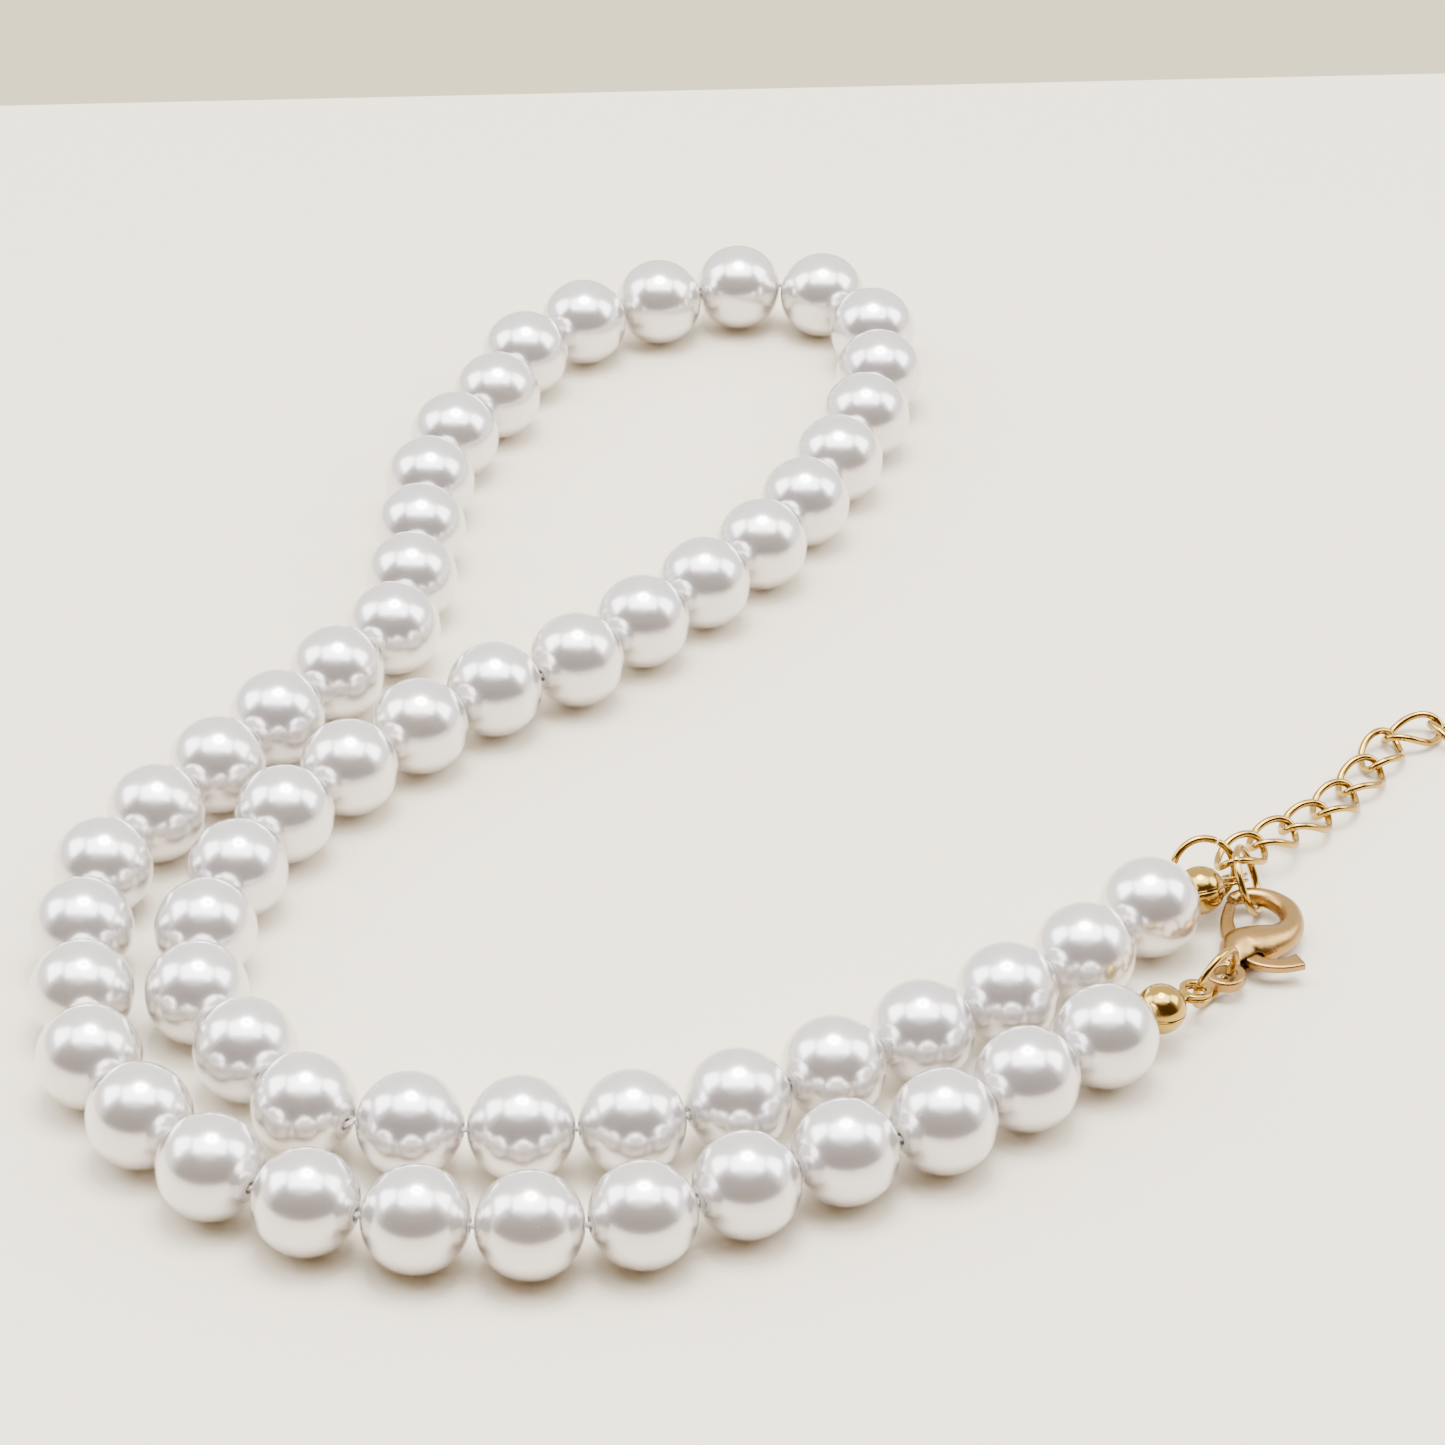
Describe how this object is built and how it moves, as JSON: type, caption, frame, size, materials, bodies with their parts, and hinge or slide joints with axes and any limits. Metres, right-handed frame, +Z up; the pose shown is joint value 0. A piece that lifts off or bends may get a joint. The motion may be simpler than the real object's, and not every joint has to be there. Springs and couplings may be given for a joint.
{
  "type": "pearl necklace",
  "caption": "Single strand necklace of round pearls on a thread, with bead tips, jump rings, a lobster clasp and a curb chain extender, clasped and laid down folded.",
  "frame": {"origin": "middle of the laid-out necklace on the surface it lies on", "axes": "+Z up from the surface, +Y from the clasp towards the far loop, +X to the side where the extender chain trails off"},
  "size_m": [0.1328, 0.147, 0.008],
  "materials": {
    "pearl": "pearlescent gloss coating",
    "thread": "twisted white polyester",
    "gold_polished": "polished gold plating",
    "gold_satin": "satin rose gold plating",
    "gold_inner": "dull crushed metal",
    "steel": "bare drawn steel"
  },
  "bodies": {
    "pearls_01": {"pearls_01": "pearl"},
    "pearls_02": {"pearls_02": "pearl"},
    "pearls_03": {"pearls_03": "pearl"},
    "pearls_04": {"pearls_04": "pearl"},
    "pearls_05": {"pearls_05": "pearl"},
    "pearls_06": {"pearls_06": "pearl"},
    "pearls_07": {"pearls_07": "pearl"},
    "pearls_08": {"pearls_08": "pearl"},
    "pearls_09": {"pearls_09": "pearl"},
    "pearls_10": {"pearls_10": "pearl"},
    "pearls_11": {"pearls_11": "pearl"},
    "pearls_12": {"pearls_12": "pearl"},
    "pearls_13": {"pearls_13": "pearl"},
    "pearls_14": {"pearls_14": "pearl"},
    "pearls_15": {"pearls_15": "pearl", "thread": "thread"},
    "pearls_16": {"pearls_16": "pearl"},
    "pearls_17": {"pearls_17": "pearl"},
    "pearls_18": {"pearls_18": "pearl"},
    "pearls_19": {"pearls_19": "pearl"},
    "pearls_20": {"pearls_20": "pearl"},
    "pearls_21": {"pearls_21": "pearl"},
    "pearls_22": {"pearls_22": "pearl"},
    "pearls_23": {"pearls_23": "pearl"},
    "pearls_24": {"pearls_24": "pearl"},
    "pearls_25": {"pearls_25": "pearl"},
    "pearls_26": {"pearls_26": "pearl"},
    "pearls_27": {"pearls_27": "pearl"},
    "pearls_28": {"pearls_28": "pearl"},
    "pearls_29": {"pearls_29": "pearl"},
    "tip_extender": {"bead_tip_extender": "gold_polished", "crimp_extender": "gold_inner"},
    "tip_clasp": {"bead_tip_clasp": "gold_polished", "crimp_clasp": "gold_inner"},
    "clasp_ring": {"clasp_ring": "gold_polished"},
    "clasp": {"clasp_body": "gold_satin", "clasp_pin": "steel", "clasp_spring": "steel"},
    "lever": {"clasp_lever": "gold_satin"},
    "extender_ring": {"extender_ring": "gold_polished"},
    "catch_ring": {"catch_ring": "gold_polished"},
    "link_01": {"link_01": "gold_polished"},
    "link_02": {"link_02": "gold_polished"},
    "link_03": {"link_03": "gold_polished"},
    "link_04": {"link_04": "gold_polished"},
    "link_05": {"link_05": "gold_polished"},
    "link_06": {"link_06": "gold_polished"},
    "link_07": {"link_07": "gold_polished"},
    "link_08": {"link_08": "gold_polished"},
    "link_09": {"link_09": "gold_polished"},
    "link_10": {"link_10": "gold_polished"},
    "link_11": {"link_11": "gold_polished"},
    "link_12": {"link_12": "gold_polished"}
  },
  "joints": [
    {"name": "bend_tip_extender", "type": "hinge", "parent": "pearls_01", "child": "tip_extender", "pos_m": [0.02329, -0.02749, 0.004], "axis": [0, 0, 1], "range_deg": [-1.54, 1.54], "deforming": ["thread"]},
    {"name": "bend_01", "type": "hinge", "parent": "pearls_02", "child": "pearls_01", "pos_m": [0.01767, -0.03326, 0.004], "axis": [0, 0, 1], "range_deg": [-1.2, 1.2], "deforming": ["thread"]},
    {"name": "bend_02", "type": "hinge", "parent": "pearls_03", "child": "pearls_02", "pos_m": [0.00544, -0.04397, 0.004], "axis": [0, 0, 1], "range_deg": [-0.64, 0.64], "deforming": ["thread"]},
    {"name": "bend_03", "type": "hinge", "parent": "pearls_04", "child": "pearls_03", "pos_m": [-0.00811, -0.053, 0.004], "axis": [0, 0, 1], "range_deg": [-0.139, 0.139], "deforming": ["thread"]},
    {"name": "bend_04", "type": "hinge", "parent": "pearls_05", "child": "pearls_04", "pos_m": [-0.02339, -0.05816, 0.004], "axis": [0, 0, 1], "range_deg": [-0.226, 0.226], "deforming": ["thread"]},
    {"name": "bend_05", "type": "hinge", "parent": "pearls_06", "child": "pearls_05", "pos_m": [-0.03953, -0.05724, 0.004], "axis": [0, 0, 1], "range_deg": [-0.449, 0.449], "deforming": ["thread"]},
    {"name": "bend_06", "type": "hinge", "parent": "pearls_07", "child": "pearls_06", "pos_m": [-0.05054, -0.04625, 0.004], "axis": [0, 0, 1], "range_deg": [-0.63, 0.63], "deforming": ["thread"]},
    {"name": "bend_07", "type": "hinge", "parent": "pearls_08", "child": "pearls_07", "pos_m": [-0.05198, -0.03067, 0.004], "axis": [0, 0, 1], "range_deg": [-0.82, 0.82], "deforming": ["thread"]},
    {"name": "bend_08", "type": "hinge", "parent": "pearls_09", "child": "pearls_08", "pos_m": [-0.04574, -0.01578, 0.004], "axis": [0, 0, 1], "range_deg": [-0.87, 0.87], "deforming": ["thread"]},
    {"name": "bend_09", "type": "hinge", "parent": "pearls_10", "child": "pearls_09", "pos_m": [-0.0351, -0.00348, 0.004], "axis": [0, 0, 1], "range_deg": [-4.45, 4.45], "deforming": ["thread"]},
    {"name": "bend_10", "type": "hinge", "parent": "pearls_11", "child": "pearls_10", "pos_m": [-0.02276, 0.00703, 0.004], "axis": [0, 0, 1], "range_deg": [-3.9, 3.9], "deforming": ["thread"]},
    {"name": "bend_11", "type": "hinge", "parent": "pearls_12", "child": "pearls_11", "pos_m": [-0.01238, 0.0196, 0.004], "axis": [0, 0, 1], "range_deg": [-4.26, 4.26], "deforming": ["thread"]},
    {"name": "bend_12", "type": "hinge", "parent": "pearls_13", "child": "pearls_12", "pos_m": [-0.00454, 0.0338, 0.004], "axis": [0, 0, 1], "range_deg": [-2.04, 2.04], "deforming": ["thread"]},
    {"name": "bend_13", "type": "hinge", "parent": "pearls_14", "child": "pearls_13", "pos_m": [0.00032, 0.04931, 0.004], "axis": [0, 0, 1], "range_deg": [-3.08, 3.08], "deforming": ["thread"]},
    {"name": "loop_sway", "type": "hinge", "parent": "pearls_15", "child": "pearls_14", "pos_m": [-0.00179, 0.0648, 0.004], "axis": [0, 0, 1], "range_deg": [-10, 10], "deforming": ["thread"]},
    {"name": "bend_15", "type": "hinge", "parent": "pearls_15", "child": "pearls_16", "pos_m": [-0.02322, 0.06433, 0.004], "axis": [0, 0, 1], "range_deg": [-9.63, 9.63], "deforming": ["thread"]},
    {"name": "bend_16", "type": "hinge", "parent": "pearls_16", "child": "pearls_17", "pos_m": [-0.03314, 0.05214, 0.004], "axis": [0, 0, 1], "range_deg": [-3.58, 3.58], "deforming": ["thread"]},
    {"name": "bend_17", "type": "hinge", "parent": "pearls_17", "child": "pearls_18", "pos_m": [-0.03863, 0.03687, 0.004], "axis": [0, 0, 1], "range_deg": [-1.58, 1.58], "deforming": ["thread"]},
    {"name": "bend_18", "type": "hinge", "parent": "pearls_18", "child": "pearls_19", "pos_m": [-0.04002, 0.02068, 0.004], "axis": [0, 0, 1], "range_deg": [-4.46, 4.46], "deforming": ["thread"]},
    {"name": "bend_19", "type": "hinge", "parent": "pearls_19", "child": "pearls_20", "pos_m": [-0.04331, 0.00506, 0.004], "axis": [0, 0, 1], "range_deg": [-5.25, 5.25], "deforming": ["thread"]},
    {"name": "bend_20", "type": "hinge", "parent": "pearls_20", "child": "pearls_21", "pos_m": [-0.05197, -0.00874, 0.004], "axis": [0, 0, 1], "range_deg": [-3.91, 3.91], "deforming": ["thread"]},
    {"name": "bend_21", "type": "hinge", "parent": "pearls_21", "child": "pearls_22", "pos_m": [-0.06004, -0.02287, 0.004], "axis": [0, 0, 1], "range_deg": [-0.64, 0.64], "deforming": ["thread"]},
    {"name": "bend_22", "type": "hinge", "parent": "pearls_22", "child": "pearls_23", "pos_m": [-0.0619, -0.03875, 0.004], "axis": [0, 0, 1], "range_deg": [-0.51, 0.51], "deforming": ["thread"]},
    {"name": "rows_sway", "type": "hinge", "parent": "pearls_23", "child": "pearls_24", "pos_m": [-0.05768, -0.05421, 0.004], "axis": [0, 0, 1], "range_deg": [-1.17, 1.17], "deforming": ["thread"]},
    {"name": "bend_24", "type": "hinge", "parent": "pearls_24", "child": "pearls_25", "pos_m": [-0.0461, -0.06531, 0.004], "axis": [0, 0, 1], "range_deg": [-1.18, 1.18], "deforming": ["thread"]},
    {"name": "bend_25", "type": "hinge", "parent": "pearls_25", "child": "pearls_26", "pos_m": [-0.03047, -0.06922, 0.004], "axis": [0, 0, 1], "range_deg": [-0.394, 0.394], "deforming": ["thread"]},
    {"name": "bend_26", "type": "hinge", "parent": "pearls_26", "child": "pearls_27", "pos_m": [-0.01467, -0.06644, 0.004], "axis": [0, 0, 1], "range_deg": [-0.5, 0.5], "deforming": ["thread"]},
    {"name": "bend_27", "type": "hinge", "parent": "pearls_27", "child": "pearls_28", "pos_m": [-0.00017, -0.05899, 0.004], "axis": [0, 0, 1], "range_deg": [-1.01, 1.01], "deforming": ["thread"]},
    {"name": "bend_28", "type": "hinge", "parent": "pearls_28", "child": "pearls_29", "pos_m": [0.01288, -0.04936, 0.004], "axis": [0, 0, 1], "range_deg": [-1.15, 1.15], "deforming": ["thread"]},
    {"name": "bend_tip_clasp", "type": "hinge", "parent": "pearls_29", "child": "tip_clasp", "pos_m": [0.01896, -0.04393, 0.004], "axis": [0, 0, 1], "range_deg": [-1.16, 1.16], "deforming": ["thread"]},
    {"name": "clasp_swing", "type": "hinge", "parent": "tip_clasp", "child": "clasp_ring", "pos_m": [0.02326, -0.03991, 0.00313], "axis": [0, 0, 1], "range_deg": [-1.5, 0.3]},
    {"name": "clasp_lift", "type": "hinge", "parent": "clasp_ring", "child": "clasp", "pos_m": [0.02602, -0.03581, 0.0015], "axis": [0.9511, -0.309, 0], "range_deg": [0, 1.2]},
    {"name": "gate", "type": "hinge", "parent": "clasp", "child": "lever", "pos_m": [0.02764, -0.03245, 0.0015], "axis": [0, 0, 1], "range_deg": [-7, 0], "stiffness_Nm_per_rad": 0.0005, "springref_deg": 20.05},
    {"name": "extender_ring_spin", "type": "hinge", "parent": "tip_extender", "child": "extender_ring", "pos_m": [0.02522, -0.02341, 0.00275], "axis": [0.17, -0.8746, 0.454], "range_deg": [-60, 60]},
    {"name": "catch_ring_swing", "type": "hinge", "parent": "tip_extender", "child": "catch_ring", "pos_m": [0.02937, -0.02171, 0.00295], "axis": [0, 0, 1], "range_deg": [-2.35, 2.35]},
    {"name": "link_01_turn", "type": "hinge", "parent": "tip_extender", "child": "link_01", "pos_m": [0.02707, -0.02301, 0.00295], "axis": [0, 0, 1], "range_deg": [-2, 2]},
    {"name": "link_02_turn", "type": "hinge", "parent": "link_01", "child": "link_02", "pos_m": [0.02987, -0.01973, 0.0026], "axis": [0, 0, 1], "range_deg": [-10, 10]},
    {"name": "link_03_turn", "type": "hinge", "parent": "link_02", "child": "link_03", "pos_m": [0.03281, -0.01644, 0.00192], "axis": [0, 0, 1], "range_deg": [-10, 10]},
    {"name": "link_04_turn", "type": "hinge", "parent": "link_03", "child": "link_04", "pos_m": [0.03568, -0.0131, 0.00136], "axis": [0, 0, 1], "range_deg": [-10, 10]},
    {"name": "link_05_turn", "type": "hinge", "parent": "link_04", "child": "link_05", "pos_m": [0.03831, -0.00955, 0.00105], "axis": [0, 0, 1], "range_deg": [-10, 10]},
    {"name": "link_06_turn", "type": "hinge", "parent": "link_05", "child": "link_06", "pos_m": [0.04062, -0.00577, 0.00097], "axis": [0, 0, 1], "range_deg": [-10, 10]},
    {"name": "link_07_turn", "type": "hinge", "parent": "link_06", "child": "link_07", "pos_m": [0.04315, -0.00233, 0.00097], "axis": [0, 0, 1], "range_deg": [-4, 10]},
    {"name": "link_08_turn", "type": "hinge", "parent": "link_07", "child": "link_08", "pos_m": [0.04659, -0.00086, 0.00097], "axis": [0, 0, 1], "range_deg": [0, 10]},
    {"name": "link_09_turn", "type": "hinge", "parent": "link_08", "child": "link_09", "pos_m": [0.05027, -0.00227, 0.00097], "axis": [0, 0, 1], "range_deg": [-7, 10]},
    {"name": "link_10_turn", "type": "hinge", "parent": "link_09", "child": "link_10", "pos_m": [0.0536, -0.00511, 0.00097], "axis": [0, 0, 1], "range_deg": [-10, 10]},
    {"name": "link_11_turn", "type": "hinge", "parent": "link_10", "child": "link_11", "pos_m": [0.05721, -0.00759, 0.00097], "axis": [0, 0, 1], "range_deg": [-10, 10]},
    {"name": "link_12_turn", "type": "hinge", "parent": "link_11", "child": "link_12", "pos_m": [0.06131, -0.00921, 0.00097], "axis": [0, 0, 1], "range_deg": [-10, 10]}
  ],
  "couplings": [
    {"joint": "bend_tip_extender", "follows": "rows_sway", "ratio": -1.282},
    {"joint": "bend_01", "follows": "rows_sway", "ratio": -1},
    {"joint": "bend_02", "follows": "rows_sway", "ratio": -0.52949},
    {"joint": "bend_03", "follows": "rows_sway", "ratio": -0.10769},
    {"joint": "bend_04", "follows": "rows_sway", "ratio": 0.18077},
    {"joint": "bend_05", "follows": "rows_sway", "ratio": 0.36795},
    {"joint": "bend_06", "follows": "rows_sway", "ratio": 0.52308},
    {"joint": "bend_07", "follows": "rows_sway", "ratio": 0.68333},
    {"joint": "bend_08", "follows": "rows_sway", "ratio": 0.71923},
    {"joint": "bend_09", "follows": "loop_sway", "ratio": -0.435},
    {"joint": "bend_10", "follows": "loop_sway", "ratio": -0.381},
    {"joint": "bend_11", "follows": "loop_sway", "ratio": -0.417},
    {"joint": "bend_12", "follows": "loop_sway", "ratio": -0.199},
    {"joint": "bend_13", "follows": "loop_sway", "ratio": 0.301},
    {"joint": "bend_15", "follows": "loop_sway", "ratio": 0.943},
    {"joint": "bend_16", "follows": "loop_sway", "ratio": 0.35},
    {"joint": "bend_17", "follows": "loop_sway", "ratio": -0.154},
    {"joint": "bend_18", "follows": "loop_sway", "ratio": -0.436},
    {"joint": "bend_19", "follows": "loop_sway", "ratio": -0.514},
    {"joint": "bend_20", "follows": "loop_sway", "ratio": -0.382},
    {"joint": "bend_21", "follows": "loop_sway", "ratio": 0.062},
    {"joint": "bend_22", "follows": "rows_sway", "ratio": 0.42051},
    {"joint": "bend_24", "follows": "rows_sway", "ratio": 0.98077},
    {"joint": "bend_25", "follows": "rows_sway", "ratio": 0.32179},
    {"joint": "bend_26", "follows": "rows_sway", "ratio": -0.40897},
    {"joint": "bend_27", "follows": "rows_sway", "ratio": -0.84103},
    {"joint": "bend_28", "follows": "rows_sway", "ratio": -0.95769},
    {"joint": "bend_tip_clasp", "follows": "rows_sway", "ratio": -0.96026},
    {"joint": "catch_ring_swing", "follows": "clasp_swing", "ratio": -1.5}
  ]
}
